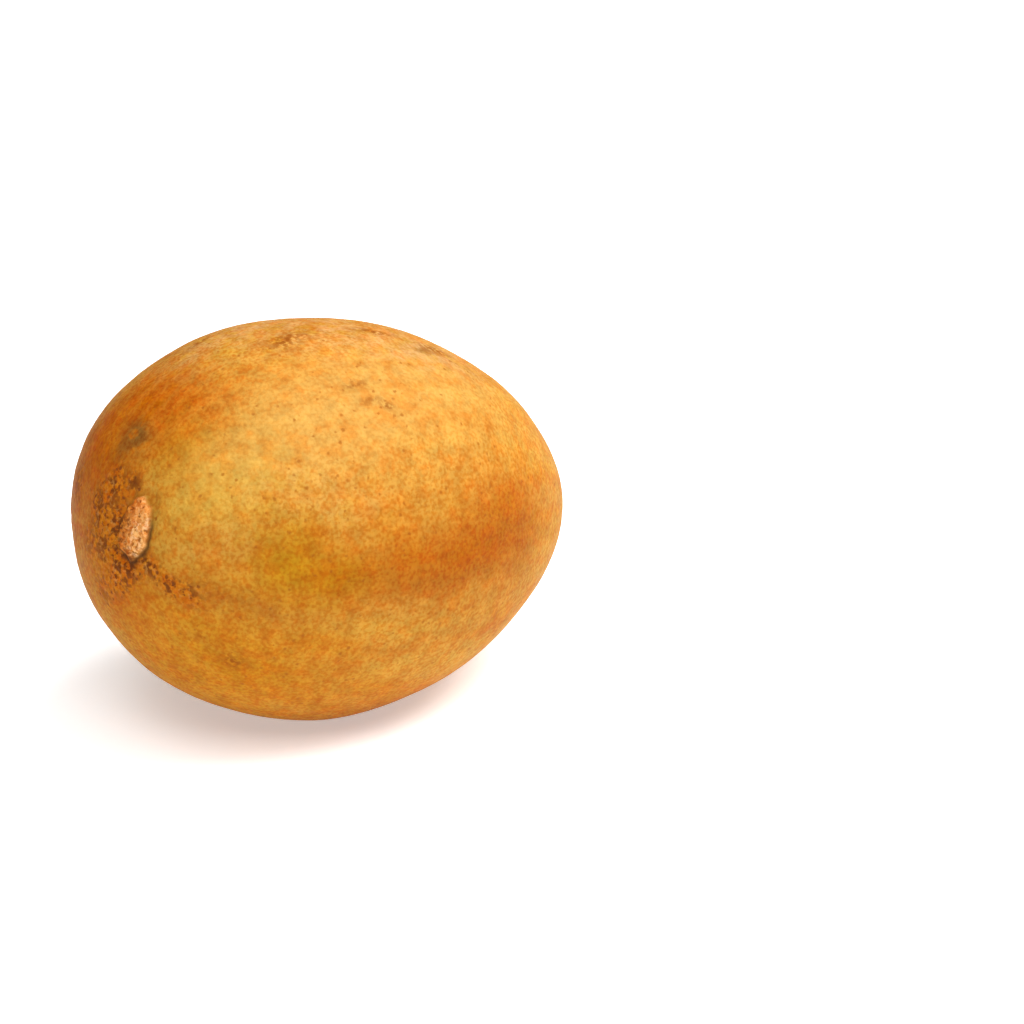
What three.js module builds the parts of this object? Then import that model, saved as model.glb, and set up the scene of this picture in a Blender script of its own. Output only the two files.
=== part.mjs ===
// A sapodilla, whole and ripe, lying on its side with its stem end a little raised.
// Millimetres and degrees, with +Z up. The long way of the fruit runs along X, its stem end is
// towards -X, and the origin is on the surface it rests on, under the middle of its box.

import * as THREE from 'three';
import { mergeVertices } from 'three/addons/utils/BufferGeometryUtils.js';

const { clamp, degToRad, lerp, smoothstep } = THREE.MathUtils;

// The form before it is laid down, measured from a middle point inside the fruit
const middleRadius = 30;
const stemEndLength = 36.5;
const farEndLength = 43.7;
const stemEndPower = 2.05; // 2 gives an ellipse, and less gives a more pointed end
const farEndPower = 1.8;
const changeOver = 0.8; // the two ends run into each other over this much of the length
const sideLean = -0.02; // the ends lean to opposite sides, as a share of the radius
const threeSides = 0.0166; // three broad and barely seen sides, as a share of the radius
const threeSidesTurn = -43;

// Gentle unevenness of the skin: how high and how long each wave is, and the way it runs
const skinWaves = [
  { height: 0.12, length: 31, way: new THREE.Vector3(0.4, 0.8, 0.45).normalize() },
  { height: 0.1, length: 23, way: new THREE.Vector3(0.7, -0.3, 0.65).normalize() },
  { height: 0.07, length: 17, way: new THREE.Vector3(-0.3, 0.5, 0.8).normalize() },
];

// The dry scar that the stalk left: a low oval patch of cork in a shallow dimple
const scarUp = 4.1; // from the stem end of the long axis
const scarSideways = -11.4; // towards -Y
const scarLong = 10;
const scarWide = 5.8;
const scarTaper = 0.15; // how much narrower it gets towards its top, as a share of its width
const scarTurn = 5; // its top leans to the right, seen from outside
const scarHeight = 0.5;
const scarEdge = 0.7; // width of the slope round the patch
const grooveDepth = 0.25; // the crease where the skin meets the patch
const grooveWidth = 0.9;
const dimpleDepth = 0.6;
const dimpleRadius = 6.5;

// The far end: a low rise with the dry stub of the flower's style on it
const riseHeight = 0.7;
const riseRadius = 3.6;
const stubHeight = 1;
const stubRadius = 0.9;

// How it lies
const stemEndRaised = 10.2;
const flatDepth = 0.5; // how far the round underside is pressed flat where it rests

// Facets
const facetsAround = 64;
const facetsAlong = 70;
const endCrowding = 0.62; // draws the rings together at both ends, where the small forms are

const stemAxis = new THREE.Vector3(-1, 0, 0);

function awayFromStemAxis(up, sideways) {
  const away = degToRad(Math.hypot(up, sideways));
  const around = Math.atan2(up, sideways);
  return new THREE.Vector3(
    -Math.cos(away),
    Math.sin(away) * Math.cos(around),
    Math.sin(away) * Math.sin(around)
  );
}

const scarMiddle = awayFromStemAxis(scarUp, scarSideways);
const scarAlong = new THREE.Vector3(0, 0, 1)
  .projectOnPlane(scarMiddle)
  .normalize()
  .applyAxisAngle(scarMiddle, degToRad(-scarTurn));
const scarAcross = new THREE.Vector3().crossVectors(scarMiddle, scarAlong);

function bump(distance, width) {
  return Math.exp(-((distance / width) ** 2));
}

// Distance from the middle point to the plain form, without its small features
function formRadius(direction) {
  const farShare = smoothstep(direction.x, -changeOver, changeOver);
  const length = lerp(stemEndLength, farEndLength, farShare);
  const power = lerp(stemEndPower, farEndPower, farShare);
  const outward = Math.hypot(direction.y, direction.z);
  const oval =
    ((Math.abs(direction.x) / length) ** power + (outward / middleRadius) ** power) ** (-1 / power);
  const around = Math.atan2(direction.y, direction.z);
  const lean = sideLean * direction.x * direction.y;
  const sides = threeSides * outward ** 3 * Math.cos(3 * (around - degToRad(threeSidesTurn)));
  return oval * (1 + lean + sides);
}

function waveHeight(point) {
  return skinWaves.reduce(
    (sum, wave) => sum + wave.height * Math.sin((2 * Math.PI * point.dot(wave.way)) / wave.length),
    0
  );
}

function scarHeightAt(direction) {
  if (direction.dot(scarMiddle) < 0) {
    return 0;
  }
  const across = direction.dot(scarAcross) * stemEndLength;
  const along = direction.dot(scarAlong) * stemEndLength;
  const wide = scarWide * (1 - scarTaper * clamp((2 * along) / scarLong, -1, 1));
  const outOfOval = Math.hypot((2 * across) / wide, (2 * along) / scarLong) - 1;
  const pastEdge = (outOfOval * (scarWide + scarLong)) / 4;
  const patch = scarHeight * (1 - smoothstep(pastEdge, -scarEdge, 0));
  const groove = grooveDepth * bump(pastEdge - grooveWidth / 2, grooveWidth);
  const dimple = dimpleDepth * bump(Math.hypot(across, along), dimpleRadius);
  return patch - groove - dimple;
}

function farEndHeightAt(direction) {
  if (direction.x < 0) {
    return 0;
  }
  const fromAxis = Math.hypot(direction.y, direction.z) * farEndLength;
  return riseHeight * bump(fromAxis, riseRadius) + stubHeight * bump(fromAxis, stubRadius);
}

function skinPoint(direction) {
  const point = direction.clone().multiplyScalar(formRadius(direction));
  const height = waveHeight(point) + scarHeightAt(direction) + farEndHeightAt(direction);
  return point.addScaledVector(direction, height);
}

// A globe of facets whose two poles are the scar and the far end's stub
function directionsGlobe() {
  const globe = new THREE.SphereGeometry(1, facetsAround, facetsAlong);
  globe.deleteAttribute('normal');
  globe.deleteAttribute('uv');
  const closed = mergeVertices(globe);
  const poleToScar = new THREE.Quaternion().setFromUnitVectors(new THREE.Vector3(0, 1, 0), stemAxis);
  const scarTilt = new THREE.Quaternion().setFromUnitVectors(stemAxis, scarMiddle);
  const noTilt = new THREE.Quaternion();
  const places = closed.attributes.position;
  const direction = new THREE.Vector3();
  for (let i = 0; i < places.count; i++) {
    direction.fromBufferAttribute(places, i).applyQuaternion(poleToScar).normalize();
    const even = Math.acos(clamp(direction.dot(stemAxis), -1, 1));
    const crowded = even - (endCrowding / 2) * Math.sin(2 * even);
    const turnAxis = new THREE.Vector3().crossVectors(stemAxis, direction);
    if (turnAxis.lengthSq() > 0) {
      direction.applyAxisAngle(turnAxis.normalize(), crowded - even);
    }
    direction.applyQuaternion(scarTilt.clone().slerp(noTilt, even / Math.PI));
    places.setXYZ(i, direction.x, direction.y, direction.z);
  }
  return closed;
}

function pressFlatUnderneath(geometry) {
  const places = geometry.attributes.position;
  geometry.computeBoundingBox();
  const rest = geometry.boundingBox.min.z + flatDepth;
  for (let i = 0; i < places.count; i++) {
    places.setZ(i, Math.max(places.getZ(i), rest));
  }
}

function standOnOrigin(geometry) {
  geometry.computeBoundingBox();
  const middle = geometry.boundingBox.getCenter(new THREE.Vector3());
  geometry.translate(-middle.x, -middle.y, -geometry.boundingBox.min.z);
}

function fruitGeometry() {
  const geometry = directionsGlobe();
  const places = geometry.attributes.position;
  const direction = new THREE.Vector3();
  for (let i = 0; i < places.count; i++) {
    const point = skinPoint(direction.fromBufferAttribute(places, i).normalize());
    places.setXYZ(i, point.x, point.y, point.z);
  }
  geometry.rotateY(degToRad(stemEndRaised));
  pressFlatUnderneath(geometry);
  standOnOrigin(geometry);
  geometry.computeVertexNormals();
  return geometry;
}

const sapodilla = new THREE.Group();
const skin = new THREE.MeshStandardMaterial({ color: 0xd4942f, roughness: 0.6, metalness: 0 });
const fruit = new THREE.Mesh(fruitGeometry(), skin);
fruit.name = 'fruit';
sapodilla.add(fruit);

export default sapodilla;
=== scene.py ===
# A ripe sapodilla, whole, lying on its side on a pale table with its stem end a little raised.
# Metres, +Z up. The stem end is towards -X and the side that the camera sees best is -Y.
import math
import bpy
import bmesh
from mathutils import Matrix, Vector, noise


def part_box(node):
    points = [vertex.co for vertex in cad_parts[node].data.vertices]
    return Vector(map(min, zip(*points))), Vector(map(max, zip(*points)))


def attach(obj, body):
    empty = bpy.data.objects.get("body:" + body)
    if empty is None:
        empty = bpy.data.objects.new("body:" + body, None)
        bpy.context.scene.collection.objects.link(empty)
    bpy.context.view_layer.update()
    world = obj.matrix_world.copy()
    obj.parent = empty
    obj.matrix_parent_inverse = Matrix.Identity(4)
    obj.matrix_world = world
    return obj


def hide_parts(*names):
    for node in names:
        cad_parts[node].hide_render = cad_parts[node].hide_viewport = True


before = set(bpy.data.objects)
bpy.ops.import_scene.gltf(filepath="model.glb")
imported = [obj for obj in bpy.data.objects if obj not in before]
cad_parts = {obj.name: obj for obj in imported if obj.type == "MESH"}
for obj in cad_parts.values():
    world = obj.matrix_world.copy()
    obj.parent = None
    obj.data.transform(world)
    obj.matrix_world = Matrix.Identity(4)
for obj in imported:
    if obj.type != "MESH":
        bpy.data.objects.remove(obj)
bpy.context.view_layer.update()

mm = 0.001

# The plain form, measured from a middle point inside the fruit and before it is laid down
fruitForm = {
    "middleRadius": 30 * mm,
    "stemEndLength": 36.5 * mm,
    "farEndLength": 43.7 * mm,
    "stemEndPower": 2.05,       # 2 gives an ellipse, less gives a more pointed end
    "farEndPower": 1.8,
    "changeOver": 0.8,          # the two ends run into each other over this much of the length
    "sideLean": -0.02,          # the ends lean to opposite sides, as a share of the radius
    "threeSides": 0.0166,       # three broad and barely seen sides, as a share of the radius
    "threeSidesTurn": -43,
    "stemEndRaised": 10.2,
    "flatDepth": 0.5 * mm,      # how far the round underside is pressed flat where it rests
}

# How finely the skin is meshed, and how much its rings are drawn together at both ends
fruitMesh = {"around": 300, "along": 330, "endCrowding": 0.55}

# Gentle unevenness of the skin: height and length of each wave, and the way it runs
skinWaves = [
    (0.12 * mm, 31 * mm, Vector((0.4, 0.8, 0.45)).normalized()),
    (0.10 * mm, 23 * mm, Vector((0.7, -0.3, 0.65)).normalized()),
    (0.07 * mm, 17 * mm, Vector((-0.3, 0.5, 0.8)).normalized()),
]

# Shallow dents of the skin itself: depth and grain of each size
skinDents = [(0.1 * mm, 3.5 * mm), (0.04 * mm, 1.4 * mm)]

# The dry patch of cork that the stalk left, in a shallow dimple
scar = {
    "up": 4.1, "sideways": -11.4,   # degrees from the stem end of the long axis
    "long": 10 * mm, "wide": 5.8 * mm, "height": 0.5 * mm, "edge": 0.7 * mm,
    "taper": 0.15,                  # how much narrower it gets towards its top, as a share of its width
    "turn": 5,                      # its top leans to the right, seen from outside
    "grooveDepth": 0.25 * mm, "grooveWidth": 0.9 * mm,
    "dimpleDepth": 0.6 * mm, "dimpleRadius": 6.5 * mm,
    "raggedness": 0.45 * mm, "raggedGrain": 1.2 * mm,
    "pitDepth": 0.22 * mm, "pitGrain": 0.6 * mm,
    "pitEdge": (0, 0.5),            # the noise has no pit at the first and a full one at the second
    "paleEdge": (0.35, -0.2),       # where its pale side begins and is full, in widths from the middle
    # painted shadow: the scar's edge is painted dark where its groove lies in shade
    "creaseWidth": 0.4 * mm,
    "creaseWay": Vector((-0.75, -0.66)),        # the painted shadow in the crease is darkest at the lower right
    "creaseLeast": 0.25, "creaseFade": (-0.3, 0.7),
    "reach": 0.8,                   # cosine of the angle that it and its dimple stay within
}

# The brown scurf round the scar stands a little proud of the skin
scurfCrust = {"height": 0.16 * mm, "grain": 0.6 * mm, "edge": (0, 0.4), "noiseShift": Vector((7, 3, 1))}

# The far end: a low rise with the dry stub of the flower's style on it
farEnd = {
    "riseHeight": 0.7 * mm, "riseRadius": 3.6 * mm,
    "stubHeight": 1.0 * mm, "stubRadius": 0.9 * mm,
}

# Soft patches of colour on the skin; the deep orange ones are partly painted shadow and the dusty ones
# partly painted sheen. Each has its place as degrees away from the stem end and degrees round the long
# axis from the top (90 is the camera's side), then its half length and half width in millimetres and
# its strength.
skinPatches = {
    "pale": [
        (82, 38, 20, 11, 0.9), (36, 48, 8, 7, 0.8), (54, 42, 9, 8, 0.6), (110, 30, 12, 9, 0.7),
        (80, -140, 18, 10, 0.7),
    ],
    "olive": [
        (23, 43, 5, 8, 0.9), (38, 60, 10, 8, 0.6), (53, 5, 5, 4, 0.7), (40, -60, 9, 7, 0.8),
        (95, -105, 12, 8, 0.6), (130, -20, 8, 7, 0.6), (29, 62, 7, 6, 0.6),
    ],
    "ochre": [
        (46, 130, 18, 13, 1.0), (52, 88, 9, 5, 0.8), (70, 4, 14, 5, 0.3), (60, 175, 20, 14, 0.9),
        (45, -130, 13, 10, 0.8),
    ],
    "oliveDark": [
        (50, 86, 4.5, 3.5, 1.0), (62, 91, 5, 3, 0.9), (48, 75, 5, 4, 0.5), (30, 28, 6, 3.5, 0.7),
        (70, 170, 9, 6, 0.6), (105, -80, 8, 5, 0.6),
    ],
    "orange": [
        (31, -6, 9, 10, 1.0), (38, 14, 6, 4, 0.7), (19, -37, 7, 9, 1.0), (14, -105, 8, 8, 0.4),
        (15, 150, 6, 7, 0.5), (10, 10, 5, 5, 0.6), (124, 68, 7, 5, 0.5), (70, -70, 14, 9, 0.8),
        (115, -150, 13, 9, 0.7),
    ],
    # deep orange skin, darkened in part as painted shadow, meant for the first three patches on the
    # camera's side towards the far end
    "deepOrangeAndPaintedShadow": [
        (106, 83, 14, 7, 0.9), (82, 90, 10, 5, 0.6), (126, 82, 9, 6, 0.6), (120, -60, 12, 8, 0.7),
        (165, 0, 8, 8, 0.5), (100, 150, 14, 8, 0.6),
    ],
    # pale dust on the skin, with painted sheen in the three strong patches along the top
    "dustAndPaintedSheen": [
        (33, 82, 5, 3, 0.2), (66, 69, 6, 3, 0.2), (66, -10, 12, 5, 1.0), (88, 5, 14, 6, 1.0),
        (108, 19, 12, 5, 1.0), (52, 60, 8, 5, 0.2), (80, -90, 12, 6, 0.7), (60, -160, 10, 6, 0.6),
        (120, 150, 10, 7, 0.6),
    ],
    "bruise": [
        (24, 4, 2.8, 2.6, 1.0), (20, -1, 2.4, 2.2, 0.8), (41, 102, 8, 1.9, 0.35),
        (108.5, 20, 2.4, 1.3, 0.7), (96, -40, 3.2, 2.2, 0.8),
    ],
    "russet": [
        (69, 9, 3.2, 2.2, 1.0), (96, 10.5, 3.4, 1, 1.0), (113.5, 17, 3, 1.4, 1.0), (56, -15, 2.3, 0.9, 1.0),
        (44.3, 128, 1.6, 1.3, 1.0), (35, 126, 1, 0.9, 0.7), (75, 32.5, 0.8, 0.6, 0.9),
        (77.5, 32.5, 0.8, 0.6, 0.9), (82.7, 41.5, 1, 0.7, 1.0), (78.5, 39.5, 1.6, 0.6, 0.8),
        (88, -88, 3, 2, 0.8), (140, -120, 3.5, 1.8, 0.8),
    ],
    "scurf": [
        (11.5, 8, 3.2, 3, 1.0), (15.3, 31, 2, 1.6, 0.9), (5, -8, 3, 3, 0.8), (4.5, 60, 2.6, 2.6, 1.0),
        (7.8, 70, 1.6, 2.6, 0.8), (5.5, 125, 3, 3, 1.0), (11, 118, 3.2, 2.6, 1.0), (11.5, 142, 3, 3, 0.9),
        (16.6, 103, 2.4, 1.7, 1.0), (20, 104, 2.2, 1.5, 1.0), (23.3, 105.5, 2.2, 1.4, 1.0),
        (26.2, 106.5, 2.2, 1.3, 0.9), (29, 107.5, 2.2, 1.2, 0.7), (34, 101, 3, 1.2, 0.35),
        (46, 104, 5, 1.8, 0.3), (5, -140, 3.2, 3.2, 0.6), (16, -70, 3.5, 2, 0.6), (27, -95, 6, 1.8, 0.6),
        (13, 170, 4, 3, 0.6),
    ],
    "specks": [
        (82.5, 41, 4, 3, 0.9), (69, 46, 3, 2, 0.6), (115, 37, 3.5, 2.6, 0.8), (114, 20, 4, 3, 0.8),
        (66, 62, 8, 5, 0.5), (62, 92, 26, 18, 0.4), (90, 150, 26, 16, 0.5), (90, -120, 26, 18, 0.5),
    ],
}
# How far, how coarsely and by which seed the edges of the patches wander, and how many half lengths
# from its middle a patch ends
patchEdge = {"drift": 1.8 * mm, "grain": 6 * mm, "seed": 133, "reach": 2}

# The masks of the scar, with the painted shadow along its edge, and of the far end, which the form gives
endMasks = ["cork", "corkPale", "crease", "stub"]
maskNames = [*skinPatches, *endMasks]

# Patterns that are drawn out along the fruit: the length that a radian from end to end stands for in
# them, and how much the clouds are drawn out again
drawnOut = {"perRadian": 4 * mm, "cloudScale": (3, 1, 1)}

stemAxis = Vector((-1, 0, 0))


def smoothStep(low, high, value):
    share = min(max((value - low) / (high - low), 0), 1)
    return share * share * (3 - 2 * share)


def bump(distance, width):
    return math.exp(-((distance / width) ** 2))


def wayOut(away, around):
    return Vector((-math.cos(away), math.sin(away) * math.cos(around), math.sin(away) * math.sin(around)))


scarAway = math.radians(math.hypot(scar["up"], scar["sideways"]))
scarMiddle = wayOut(scarAway, math.atan2(scar["up"], scar["sideways"]))
scarUpright = (Vector((0, 0, 1)) - scarMiddle * scarMiddle.z).normalized()
scarAlong = Matrix.Rotation(math.radians(-scar["turn"]), 3, scarMiddle) @ scarUpright
scarAcross = scarMiddle.cross(scarAlong)


def formRadius(direction):
    form = fruitForm
    farShare = smoothStep(-form["changeOver"], form["changeOver"], direction.x)
    length = form["stemEndLength"] + (form["farEndLength"] - form["stemEndLength"]) * farShare
    power = form["stemEndPower"] + (form["farEndPower"] - form["stemEndPower"]) * farShare
    outward = math.hypot(direction.y, direction.z)
    inverse = (abs(direction.x) / length) ** power + (outward / form["middleRadius"]) ** power
    oval = inverse ** (-1 / power)
    around = math.atan2(direction.y, direction.z) - math.radians(form["threeSidesTurn"])
    lean = form["sideLean"] * direction.x * direction.y
    sides = form["threeSides"] * outward ** 3 * math.cos(3 * around)
    return oval * (1 + lean + sides)


def scarMasks(direction, point):
    # the cork patch and its pale side, the groove, the painted shadow along the edge, and the dimple
    across = direction.dot(scarAcross) * fruitForm["stemEndLength"]
    along = direction.dot(scarAlong) * fruitForm["stemEndLength"]
    wide = scar["wide"] * (1 - scar["taper"] * min(max(2 * along / scar["long"], -1), 1))
    outOfOval = math.hypot(2 * across / wide, 2 * along / scar["long"]) - 1
    pastEdge = outOfOval * (scar["wide"] + scar["long"]) / 4
    pastEdge += scar["raggedness"] * noise.noise(point / scar["raggedGrain"])
    cork = 1 - smoothStep(-scar["edge"], 0, pastEdge)
    pale = cork * smoothStep(*scar["paleEdge"], across / wide)
    groove = bump(pastEdge - scar["grooveWidth"] / 2, scar["grooveWidth"])
    # painted shadow along the scar's edge, darkest at its lower right
    facing = Vector((across, along)).normalized().dot(scar["creaseWay"])
    dark = scar["creaseLeast"] + (1 - scar["creaseLeast"]) * smoothStep(*scar["creaseFade"], facing)
    crease = bump(pastEdge, scar["creaseWidth"]) * dark
    dimple = bump(math.hypot(across, along), scar["dimpleRadius"])
    return cork, pale, groove, crease, dimple


def patchMasks(point):
    placed = point + noise.noise_vector(point / patchEdge["grain"]) * patchEdge["drift"]
    outward = math.hypot(placed.y, placed.z)
    away = math.degrees(math.atan2(outward, -placed.x))
    around = math.degrees(math.atan2(-placed.y, placed.z))
    masks = {}
    for name, patches in skinPatches.items():
        bare = 1
        for patchAway, patchAround, halfLength, halfWidth, strength in patches:
            along = math.radians(away - patchAway) * placed.length / (halfLength * mm)
            if abs(along) < patchEdge["reach"]:
                turn = (around - patchAround + 180) % 360 - 180
                across = math.radians(turn) * outward / (halfWidth * mm)
                bare *= 1 - strength * math.exp(-(along * along + across * across))
        masks[name] = 1 - bare
    return masks


def skinPoint(direction):
    point = direction * formRadius(direction)
    height = sum(high * math.sin(2 * math.pi * point.dot(way) / long) for high, long, way in skinWaves)
    height -= sum(depth * (1 + noise.noise(point / grain)) / 2 for depth, grain in skinDents)
    masks = patchMasks(point)
    masks.update(dict.fromkeys(endMasks, 0))
    if direction.dot(scarMiddle) > scar["reach"]:
        cork, pale, groove, crease, dimple = scarMasks(direction, point)
        pits = smoothStep(*scar["pitEdge"], noise.noise(point / scar["pitGrain"]))
        height += scar["height"] * cork - scar["grooveDepth"] * groove - scar["dimpleDepth"] * dimple
        height -= scar["pitDepth"] * pits * cork
        masks["cork"], masks["corkPale"], masks["crease"] = cork, pale, crease
    if direction.x > 0:
        fromAxis = math.hypot(direction.y, direction.z) * fruitForm["farEndLength"]
        masks["stub"] = bump(fromAxis, farEnd["stubRadius"])
        height += farEnd["riseHeight"] * bump(fromAxis, farEnd["riseRadius"])
        height += farEnd["stubHeight"] * masks["stub"]
    crustNoise = noise.noise(point / scurfCrust["grain"] + scurfCrust["noiseShift"])
    crust = smoothStep(*scurfCrust["edge"], crustNoise)
    height += scurfCrust["height"] * crust * masks["scurf"] * (1 - masks["cork"])
    return point + direction * height, masks


def makeFruit():
    noise.seed_set(patchEdge["seed"])
    bm = bmesh.new()
    bmesh.ops.create_uvsphere(
        bm, u_segments=fruitMesh["around"], v_segments=fruitMesh["along"], radius=1)
    layers = {name: bm.verts.layers.float.new(name) for name in maskNames}
    meridian = bm.verts.layers.float_vector.new("meridian")
    for vert in bm.verts:
        # the globe's poles are drawn to the scar and to the far end
        even = math.acos(min(max(vert.co.z, -1), 1))
        away = even - fruitMesh["endCrowding"] / 2 * math.sin(2 * even)
        around = math.atan2(vert.co.y, vert.co.x)
        lean = (scarMiddle - stemAxis) * (1 + math.cos(away)) / 2
        direction = (wayOut(away, around) + lean).normalized()
        vert.co, masks = skinPoint(direction)
        for name, layer in layers.items():
            vert[layer] = masks[name]
        outward = Vector((0, direction.y, direction.z)).normalized() * fruitForm["middleRadius"]
        fromStemEnd = math.atan2(math.hypot(direction.y, direction.z), -direction.x)
        vert[meridian] = outward + Vector((fromStemEnd * drawnOut["perRadian"], 0, 0))
    raised = Matrix.Rotation(math.radians(fruitForm["stemEndRaised"]), 3, "Y")
    bmesh.ops.rotate(bm, verts=bm.verts, matrix=raised)
    rest = min(vert.co.z for vert in bm.verts) + fruitForm["flatDepth"]
    for vert in bm.verts:
        vert.co.z = max(vert.co.z, rest)
    low = Vector(min(vert.co[i] for vert in bm.verts) for i in range(3))
    high = Vector(max(vert.co[i] for vert in bm.verts) for i in range(3))
    nodeLow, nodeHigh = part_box("fruit")
    place = (nodeLow + nodeHigh) / 2 - (low + high) / 2
    place.z = nodeLow.z - low.z
    bmesh.ops.translate(bm, verts=bm.verts, vec=place)
    bmesh.ops.recalc_face_normals(bm, faces=bm.faces)
    mesh = bpy.data.meshes.new("sapodillaSkin")
    bm.to_mesh(mesh)
    bm.free()
    mesh.shade_smooth()
    fruit = bpy.data.objects.new("sapodillaSkin", mesh)
    bpy.context.collection.objects.link(fruit)
    size = [round(v / mm, 2) for v in high - low]
    nodeSize = [round(v / mm, 2) for v in nodeHigh - nodeLow]
    print("fruit:", len(mesh.polygons), "faces, box", size, "mm, CAD box", nodeSize)
    return fruit, place


fruit, fruitMiddle = makeFruit()


# Camera of the photograph: where the fruit's middle point shows in a frame of 1024 x 1024 pixels
photoView = {
    "azimuth": -38, "elevation": 22, "lens": 100, "sensor": 36, "frame": 1024,
    "middleAcross": 309.5, "middleDown": 514.1, "distance": 424.4 * mm,
}


def makeCamera(middle):
    view = photoView
    turn, lift = math.radians(view["azimuth"]), math.radians(view["elevation"])
    right = Vector((math.cos(turn), math.sin(turn), 0))
    back = Vector((math.sin(turn) * math.cos(lift), -math.cos(turn) * math.cos(lift), math.sin(lift)))
    up = back.cross(right)
    perPixel = view["sensor"] / view["lens"] / view["frame"] * view["distance"]
    lens = bpy.data.cameras.new("camera")
    lens.lens = view["lens"]
    lens.sensor_width = view["sensor"]
    lens.clip_start = 10 * mm
    camera = bpy.data.objects.new("camera", lens)
    camera.matrix_world = Matrix((right, up, back)).transposed().to_4x4()
    camera.location = (
        middle + back * view["distance"]
        - right * (view["middleAcross"] - view["frame"] / 2) * perPixel
        + up * (view["middleDown"] - view["frame"] / 2) * perPixel
    )
    bpy.context.collection.objects.link(camera)
    bpy.context.scene.camera = camera


makeCamera(fruitMiddle)
print("camera: placed at the photograph's angle")


def toLinear(hexValue):
    channels = [int(hexValue[i:i + 2], 16) / 255 for i in (1, 3, 5)]
    return [c / 12.92 if c <= 0.04045 else ((c + 0.055) / 1.055) ** 2.4 for c in channels] + [1]


def addNode(tree, kind, settings=None, inputs=None):
    node = tree.nodes.new(kind)
    for name, value in (settings or {}).items():
        setattr(node, name, value)
    for name, value in (inputs or {}).items():
        if isinstance(value, bpy.types.NodeSocket):
            tree.links.new(value, node.inputs[name])
        else:
            node.inputs[name].default_value = value
    return node


skinPaint = {
    "gold": "#ad7d30", "paleGold": "#ba8b3b", "orangeGold": "#b0751a", "pale": "#b58942",
    "olive": "#b58f39", "oliveDark": "#9f7011", "ochre": "#a87013", "orange": "#a55800",
    # the deep orange paint is darkened in part as painted shadow; the dusty paint is pale dust with painted
    # sheen
    "deepOrangeAndPaintedShadow": "#944f00", "streak": "#9f5e08", "dustAndPaintedSheen": "#b98f60", "bruise": "#5e4a24",
    "russet": "#7c3e08", "speck": "#864a14",
    "scurfGround": "#b56a10", "scurfDark": "#5a2c0e", "scurfSpot": "#512a15", "scurfLight": "#b57d3d",
    "corkShade": "#bd742b", "cork": "#dba463", "corkBrown": "#b56f32", "corkPit": "#824b1e",
    # the dark colour of the scar's edge is painted shadow
    "corkPale": "#e8be8f", "crease": "#422711", "stub": "#422613",
    "warm": "#ffd9a8", "grainShade": "#f1cc95",      # these two tint what is under them
}
skinFinish = {"roughness": 0.62, "corkRoughness": 0.9, "specular": 0.04, "ior": 1.45}

# Patterns of the skin: size of the grain in millimetres and how much finer detail it has
skinGrains = {
    "cloud": (9, 2), "mottle": (2.2, 2), "grain": (0.55, 2), "fleck": (0.8, 2), "streaks": (3.2, 1),
}
grainRoughness = 0.55
patternRange = (0.3, 0.7)       # nearly all of a pattern's values lie between these

# How strongly a pattern shows: it starts at the first value, and from the second on it is the third
patternShares = {
    "paleClouds": (0.45, 0.62, 0.5), "orangeClouds": (0.5, 0.66, 0.6), "oliveClouds": (0.5, 0.66, 0.5),
    "brownStreaks": (0.5, 0.7, 0.2), "paleStreaks": (0.52, 0.72, 0.12), "warm": (0.45, 0.65, 0.6),
    "dustAndPaintedSheen": (0.3, 0.65, 0.65), "bruise": (0.3, 0.55, 0.8), "russet": (0.36, 0.56, 0.9),
    "corkBrown": (0.48, 0.6, 0.8), "corkPale": (0.5, 0.64, 0.7), "corkPit": (0.58, 0.68, 0.85),
    "scurfDark": (0.45, 0.56, 0.95), "scurfLight": (0.56, 0.68, 0.5), "scurfSpots": (0.1, 0.5, 0.55),
    "grainShade": (0.6, 0.35, 1), "speckRadius": (0.25, 1.15, 0.26), "speckEdge": (0.3, 0.08, 1),
}
grainOnPale = (0, 1, 0.3, 0.8)      # the dark grain shows by 0.3 in the pale patches and by 0.8 elsewhere

# How strongly the others show
paintShares = {"scurfGround": 0.85, "speck": 0.65, "crease": 0.9, "mottleShade": 0.12, "grainShade": 0.08}

# Small brown specks: spacing, how much likelier they are in the patches, and how ragged they are
speckLook = {"spacing": 1.1 * mm, "inSpecks": 0.3, "inScurf": 0.5, "raggedness": 0.45}

# Relief too fine for the mesh, in millimetres
fineRelief = {"grain": 0.1, "mottle": 0.12, "scurf": 0.3, "cork": 0.4}


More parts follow.
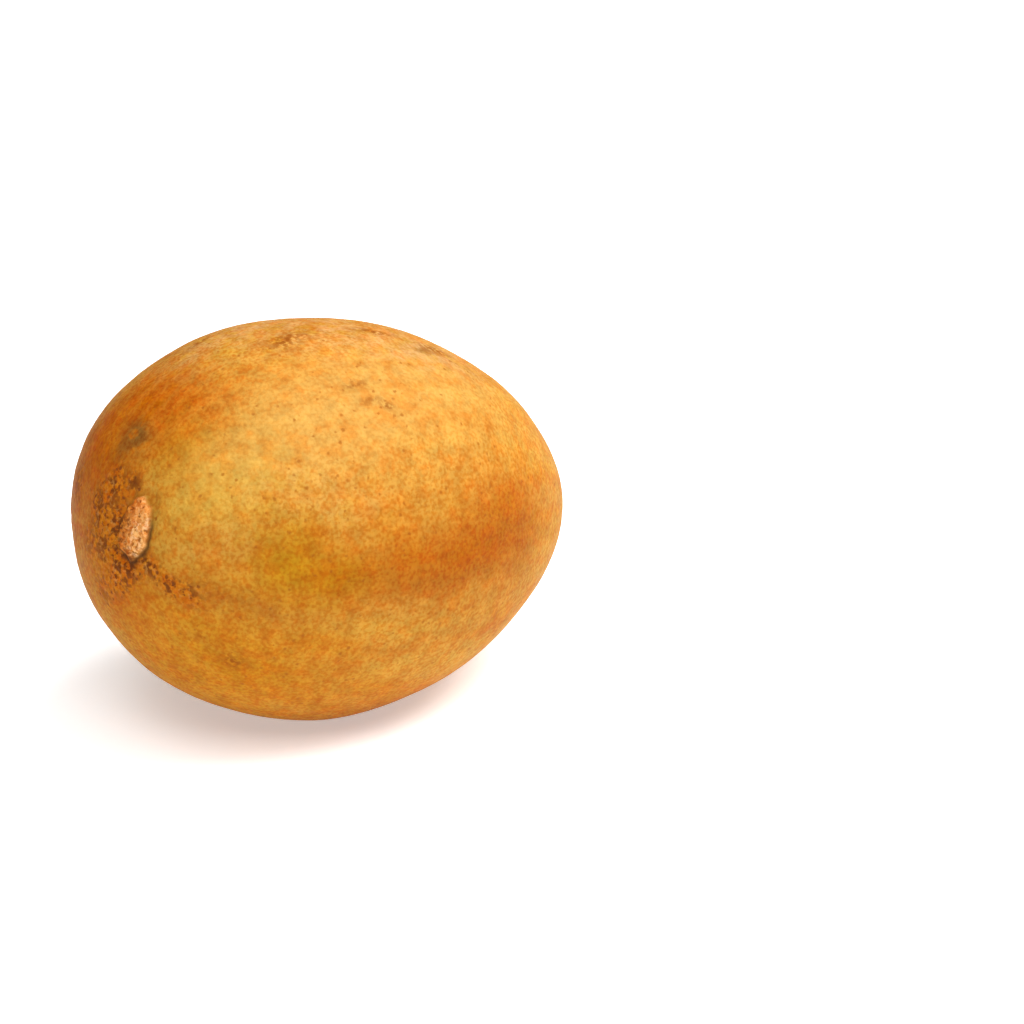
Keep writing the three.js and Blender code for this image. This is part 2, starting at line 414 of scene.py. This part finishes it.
def paintSkin():
    # Thin dry peel of a ripe sapodilla, semi-matt: brown-gold with soft clouds of olive, ochre and orange,
    # a fine tan and brown grain all over, and rough brown scurf round the scar
    # It also carries painted shadow along the scar's edge and in the deep orange, and painted sheen with
    # the dust along the top
    material = bpy.data.materials.new("ripeSapodillaPeel")
    material.use_nodes = True
    tree = material.node_tree
    shader = tree.nodes["Principled BSDF"]

    def attribute(name):
        return addNode(tree, "ShaderNodeAttribute", {"attribute_name": name}).outputs

    def share(value, low, high, most, least=0.0):
        return addNode(tree, "ShaderNodeMapRange", {"interpolation_type": "SMOOTHSTEP"}, {
            "Value": value, "From Min": low, "From Max": high, "To Min": least, "To Max": most,
        }).outputs["Result"]

    def combined(operation, a, b):
        return addNode(tree, "ShaderNodeMath", {"operation": operation}, {0: a, 1: b}).outputs[0]

    def times(a, b):
        return combined("MULTIPLY", a, b)

    def plus(a, b):
        return combined("ADD", a, b)

    def parts(colour):
        return addNode(tree, "ShaderNodeSeparateColor", {}, {"Color": colour}).outputs

    # on a colour Mix node, socket 0 is the share, 6 and 7 are the colours and output 2 is the result
    def laid(colour, paint, amount, blend="MIX"):
        return addNode(tree, "ShaderNodeMix", {"data_type": "RGBA", "blend_type": blend}, {
            0: amount, 6: colour, 7: toLinear(skinPaint[paint]),
        }).outputs[2]

    def shaded(colour, pattern, contrast):
        # darkens and lightens a colour by a pattern
        low, high = patternRange
        shade = addNode(tree, "ShaderNodeMapRange", {}, {
            "Value": pattern, "From Min": low, "From Max": high,
            "To Min": 1 - contrast, "To Max": 1 + contrast,
        })
        return addNode(tree, "ShaderNodeVectorMath", {"operation": "SCALE"}, {
            0: colour, "Scale": shade.outputs["Result"],
        }).outputs[0]

    place = addNode(tree, "ShaderNodeTexCoord").outputs["Object"]
    meridian = attribute("meridian")["Vector"]
    masks = {name: attribute(name)["Fac"] for name in maskNames}
    cloudPlace = addNode(tree, "ShaderNodeVectorMath", {"operation": "MULTIPLY"}, {
        0: meridian, 1: drawnOut["cloudScale"],
    }).outputs[0]
    places = {"cloud": cloudPlace, "streaks": meridian}

    # each noise gives three patterns that have nothing to do with each other: Red, Green and Blue
    grains = {}
    for name, (size, detail) in skinGrains.items():
        pattern = addNode(tree, "ShaderNodeTexNoise", {}, {
            "Vector": places.get(name, place), "Scale": 1 / (size * mm),
            "Detail": detail, "Roughness": grainRoughness,
        })
        grains[name] = parts(pattern.outputs["Color"])
    cloud, mottle, grain = grains["cloud"], grains["mottle"], grains["grain"]
    fleck, streaks = grains["fleck"], grains["streaks"]

    def seen(name, pattern):
        return share(pattern, *patternShares[name])

    # small brown specks, one in some of the cells, of uneven size and outline
    cells = addNode(tree, "ShaderNodeTexVoronoi", {}, {"Vector": place, "Scale": 1 / speckLook["spacing"]})
    crowd = plus(times(masks["specks"], speckLook["inSpecks"]), times(masks["scurf"], speckLook["inScurf"]))
    radius = seen("speckRadius", plus(parts(cells.outputs["Color"])["Red"], crowd))
    ragged = plus(cells.outputs["Distance"], times(grain["Red"], speckLook["raggedness"]))
    speck = seen("speckEdge", combined("SUBTRACT", ragged, radius))

    scurf, cork, corkPale = masks["scurf"], masks["cork"], masks["corkPale"]
    crust = times(plus(fleck["Red"], mottle["Red"]), 0.5)
    colour = toLinear(skinPaint["gold"])
    for paint, amount in (
        ("paleGold", seen("paleClouds", cloud["Red"])),
        ("orangeGold", seen("orangeClouds", cloud["Green"])),
        ("olive", seen("oliveClouds", cloud["Blue"])),
        ("pale", masks["pale"]),
        ("olive", masks["olive"]),
        ("ochre", masks["ochre"]),
        ("oliveDark", masks["oliveDark"]),
        ("orange", masks["orange"]),
        # deep orange, darkened in part as painted shadow
        ("deepOrangeAndPaintedShadow", masks["deepOrangeAndPaintedShadow"]),
        ("streak", seen("brownStreaks", streaks["Red"])),
        ("paleGold", seen("paleStreaks", streaks["Green"])),
        # pale dust, with painted sheen along the top
        ("dustAndPaintedSheen", times(masks["dustAndPaintedSheen"], seen("dustAndPaintedSheen", mottle["Blue"]))),
        ("bruise", times(masks["bruise"], seen("bruise", mottle["Green"]))),
        ("scurfGround", times(scurf, paintShares["scurfGround"])),
        ("corkShade", cork),
        ("cork", corkPale),
        ("corkBrown", times(cork, seen("corkBrown", fleck["Red"]))),
        ("corkPale", times(corkPale, seen("corkPale", fleck["Green"]))),
        ("corkPit", times(cork, seen("corkPit", fleck["Blue"]))),
    ):
        colour = laid(colour, paint, amount)
    colour = laid(colour, "warm", seen("warm", mottle["Green"]), "MULTIPLY")
    grainAmount = times(seen("grainShade", grain["Red"]), share(masks["pale"], *grainOnPale))
    colour = laid(colour, "grainShade", grainAmount, "MULTIPLY")
    colour = shaded(colour, mottle["Red"], paintShares["mottleShade"])
    colour = shaded(colour, grain["Blue"], paintShares["grainShade"])
    for paint, amount in (
        ("russet", times(masks["russet"], seen("russet", fleck["Red"]))),
        ("scurfDark", times(scurf, seen("scurfDark", crust))),
        ("scurfLight", times(scurf, seen("scurfLight", fleck["Green"]))),
        ("speck", times(speck, paintShares["speck"])),
        ("scurfSpot", times(speck, seen("scurfSpots", scurf))),
        # painted shadow along the scar's edge
        ("crease", times(masks["crease"], paintShares["crease"])),
        ("stub", masks["stub"]),
    ):
        colour = laid(colour, paint, amount)
    tree.links.new(colour, shader.inputs["Base Color"])

    roughness = addNode(tree, "ShaderNodeMapRange", {}, {
        "Value": cork, "To Min": skinFinish["roughness"], "To Max": skinFinish["corkRoughness"],
    })
    tree.links.new(roughness.outputs["Result"], shader.inputs["Roughness"])
    shader.inputs["IOR"].default_value = skinFinish["ior"]
    shader.inputs["Specular IOR Level"].default_value = skinFinish["specular"]

    even = plus(times(grain["Green"], fineRelief["grain"]), times(mottle["Green"], fineRelief["mottle"]))
    rugged = plus(times(scurf, fineRelief["scurf"]), times(cork, fineRelief["cork"]))
    relief = plus(even, times(rugged, fleck["Green"]))
    rough = addNode(tree, "ShaderNodeBump", {}, {"Height": relief, "Distance": mm, "Strength": 1})
    tree.links.new(rough.outputs["Normal"], shader.inputs["Normal"])
    return material


fruit.data.materials.append(paintSkin())
print("peel: painted")

# Pale table, which glows a little so that its shadows stay soft and light
studio = {
    "tableSize": 8.0, "table": "#fafafa", "roughness": 0.5, "glow": 0.4, "ambient": 0.1,
    "softboxDistance": 1.4, "softboxSize": 1.0,
}
# How far each is turned from the camera's right towards the camera, how high it is, and its watts
softboxes = {"key": (0, 60, 31), "frontFill": (90, 60, 17), "rim": (-45, 30, 0.8)}


def makeTable():
    bm = bmesh.new()
    bmesh.ops.create_grid(bm, x_segments=1, y_segments=1, size=studio["tableSize"] / 2)
    mesh = bpy.data.meshes.new("table")
    bm.to_mesh(mesh)
    bm.free()
    table = bpy.data.objects.new("table", mesh)
    bpy.context.collection.objects.link(table)
    paint = bpy.data.materials.new("paleTable")
    paint.use_nodes = True
    shader = paint.node_tree.nodes["Principled BSDF"]
    shader.inputs["Base Color"].default_value = toLinear(studio["table"])
    shader.inputs["Roughness"].default_value = studio["roughness"]
    shader.inputs["Emission Color"].default_value = (1, 1, 1, 1)
    shader.inputs["Emission Strength"].default_value = studio["glow"]
    mesh.materials.append(paint)


def makeLight(middle):
    world = bpy.data.worlds.new("studio")
    world.use_nodes = True
    background = world.node_tree.nodes["Background"]
    background.inputs["Color"].default_value = (1, 1, 1, 1)
    background.inputs["Strength"].default_value = studio["ambient"]
    bpy.context.scene.world = world
    for name, (turned, lifted, watts) in softboxes.items():
        light = bpy.data.lights.new(name, "AREA")
        light.size = studio["softboxSize"]
        light.energy = watts
        softbox = bpy.data.objects.new(name, light)
        turn = math.radians(photoView["azimuth"] - turned)
        lift = math.radians(lifted)
        way = Vector((math.cos(turn) * math.cos(lift), math.sin(turn) * math.cos(lift), math.sin(lift)))
        softbox.location = middle + way * studio["softboxDistance"]
        softbox.rotation_mode = "QUATERNION"
        softbox.rotation_quaternion = way.to_track_quat("Z", "Y")
        bpy.context.collection.objects.link(softbox)


makeTable()
makeLight(fruitMiddle)
bpy.context.scene.view_settings.view_transform = "Standard"
print("studio: table and", len(softboxes), "softboxes")

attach(fruit, "root")
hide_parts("fruit")
